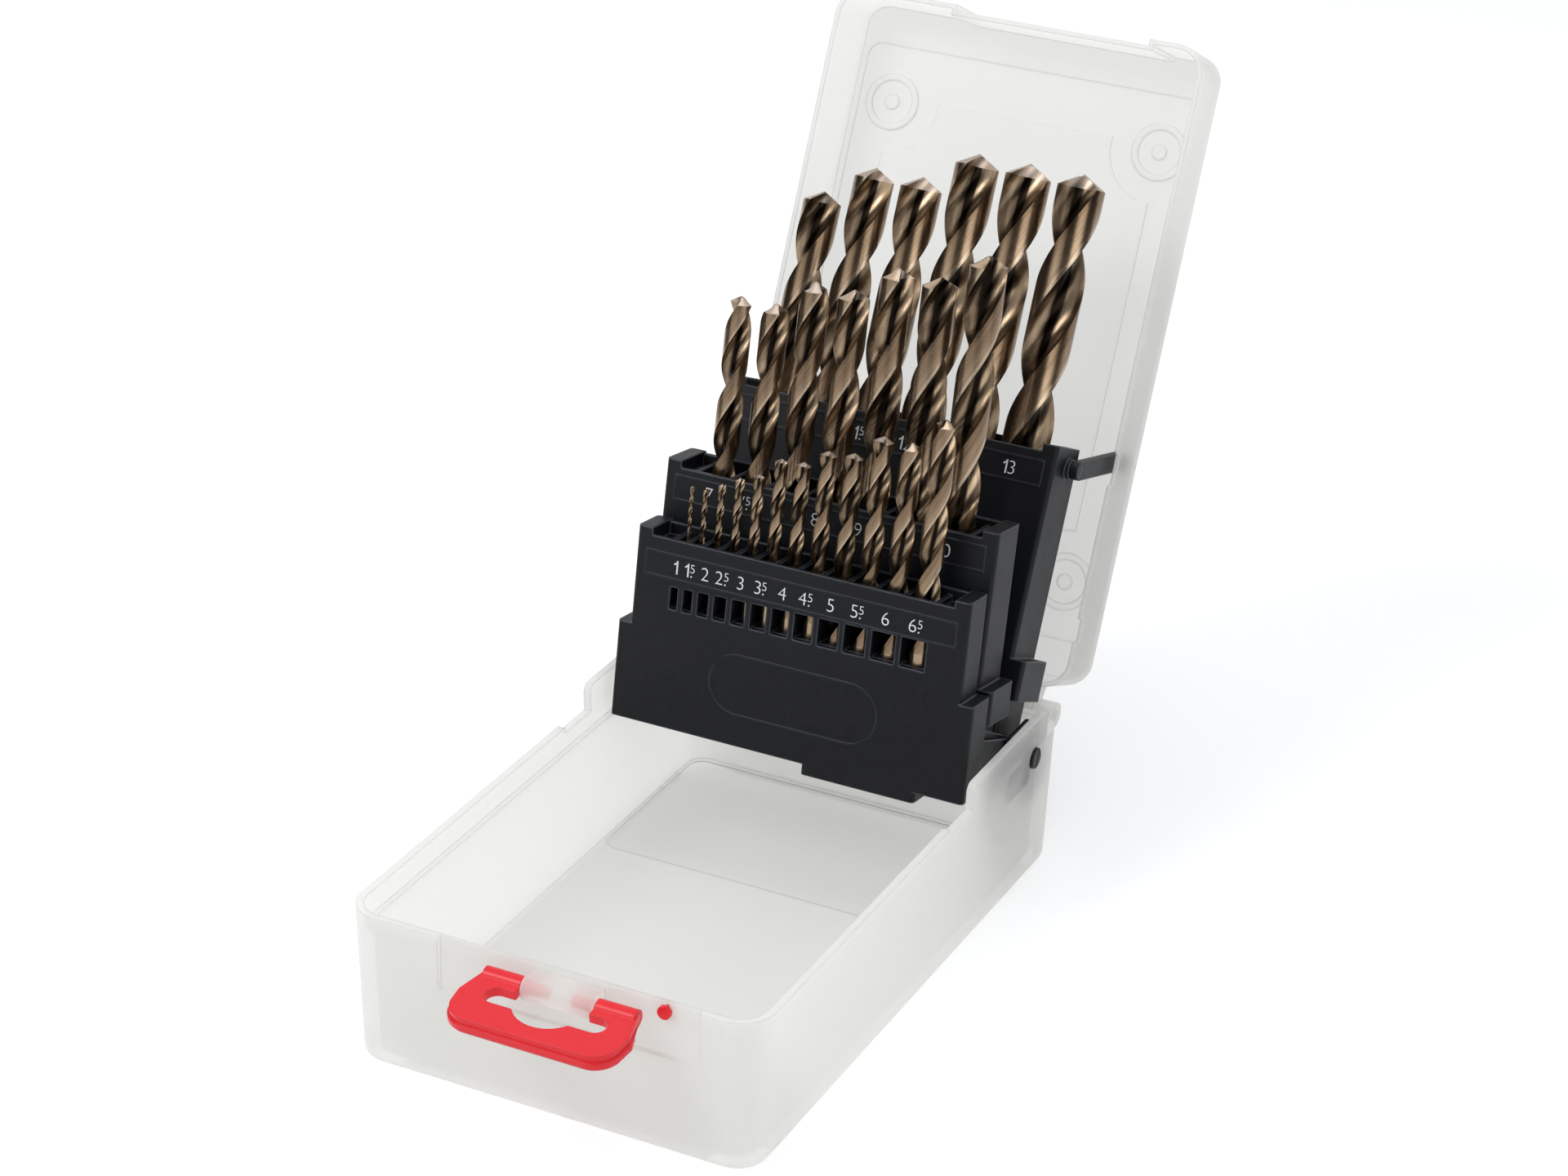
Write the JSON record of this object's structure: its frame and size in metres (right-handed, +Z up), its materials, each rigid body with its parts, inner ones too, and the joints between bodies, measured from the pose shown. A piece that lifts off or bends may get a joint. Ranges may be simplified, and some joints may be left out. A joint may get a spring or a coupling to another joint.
{
  "type": "drill bit case",
  "caption": "Hinged translucent case whose black racks swing up on a side pivot as the lid opens and stand a graded set of twist drills on end, closed by a red front latch.",
  "frame": {"origin": "centre of the tray's underside", "axes": "+X to the right, +Y to the rear where the lid is hinged, +Z up"},
  "size_m": [0.1164, 0.3037, 0.2054],
  "materials": {
    "clear_shell": "milky translucent natural polypropylene, satin",
    "black_plastic": "fine matt moulded texture",
    "red_plastic": "semi-gloss moulded",
    "drill_steel": "bronze oxide over polished flutes with bright ground points"
  },
  "bodies": {
    "base": {"base_tray": "clear_shell", "rim_peg": "red_plastic", "hinge_pin_left": "clear_shell", "hinge_pin_right": "clear_shell", "pivot_bracket_left": "black_plastic", "pivot_bracket_right": "black_plastic", "pivot_pin_left": "black_plastic", "pivot_pin_right": "black_plastic"},
    "lid": {"lid": "clear_shell"},
    "front_rack": {"front_rack": "black_plastic", "drill_1_0": "drill_steel", "drill_1_5": "drill_steel", "drill_2_0": "drill_steel", "drill_2_5": "drill_steel", "drill_3_0": "drill_steel", "drill_3_5": "drill_steel", "drill_4_0": "drill_steel", "drill_4_5": "drill_steel", "drill_5_0": "drill_steel", "drill_5_5": "drill_steel", "drill_6_0": "drill_steel", "drill_6_5": "drill_steel"},
    "middle_rack": {"middle_rack": "black_plastic", "drill_7_0": "drill_steel", "drill_7_5": "drill_steel", "drill_8_0": "drill_steel", "drill_8_5": "drill_steel", "drill_9_0": "drill_steel", "drill_9_5": "drill_steel", "drill_10_0": "drill_steel"},
    "rear_rack": {"rear_rack": "black_plastic", "drill_10_5": "drill_steel", "drill_11_0": "drill_steel", "drill_11_5": "drill_steel", "drill_12_0": "drill_steel", "drill_12_5": "drill_steel", "drill_13_0": "drill_steel"},
    "link_left": {"link_bar_left": "black_plastic"},
    "link_right": {"link_bar_right": "black_plastic"},
    "latch": {"latch": "red_plastic"}
  },
  "joints": [
    {"name": "lid_hinge", "type": "hinge", "parent": "base", "child": "lid", "pos_m": [0, 0.0955, 0.038], "axis": [1, 0, 0], "range_deg": [0, 115]},
    {"name": "front_rack_pivot", "type": "hinge", "parent": "base", "child": "front_rack", "pos_m": [0, 0.071, 0.0378], "axis": [1, 0, 0], "range_deg": [0, 99]},
    {"name": "middle_rack_pivot", "type": "hinge", "parent": "base", "child": "middle_rack", "pos_m": [0, 0.071, 0.0378], "axis": [1, 0, 0], "range_deg": [0, 100.8]},
    {"name": "rear_rack_pivot", "type": "hinge", "parent": "base", "child": "rear_rack", "pos_m": [0, 0.071, 0.0378], "axis": [1, 0, 0], "range_deg": [0, 115]},
    {"name": "link_left_pivot", "type": "hinge", "parent": "rear_rack", "child": "link_left", "pos_m": [-0.051, 0.1049, 0.10695], "axis": [1, 0, 0], "range_deg": [-80, 0]},
    {"name": "link_right_pivot", "type": "hinge", "parent": "rear_rack", "child": "link_right", "pos_m": [0.051, 0.1049, 0.10695], "axis": [1, 0, 0], "range_deg": [-80, 0]},
    {"name": "latch_hinge", "type": "hinge", "parent": "base", "child": "latch", "pos_m": [0.006, -0.0941, 0.0384], "axis": [-1, 0, 0], "range_deg": [0, 96]}
  ],
  "couplings": [
    {"joint": "front_rack_pivot", "follows": "lid_hinge", "ratio": 0.8608},
    {"joint": "middle_rack_pivot", "follows": "lid_hinge", "ratio": 0.8765},
    {"joint": "rear_rack_pivot", "follows": "lid_hinge", "ratio": 1},
    {"joint": "link_left_pivot", "follows": "lid_hinge", "ratio": -0.6955},
    {"joint": "link_right_pivot", "follows": "lid_hinge", "ratio": -0.6955}
  ]
}
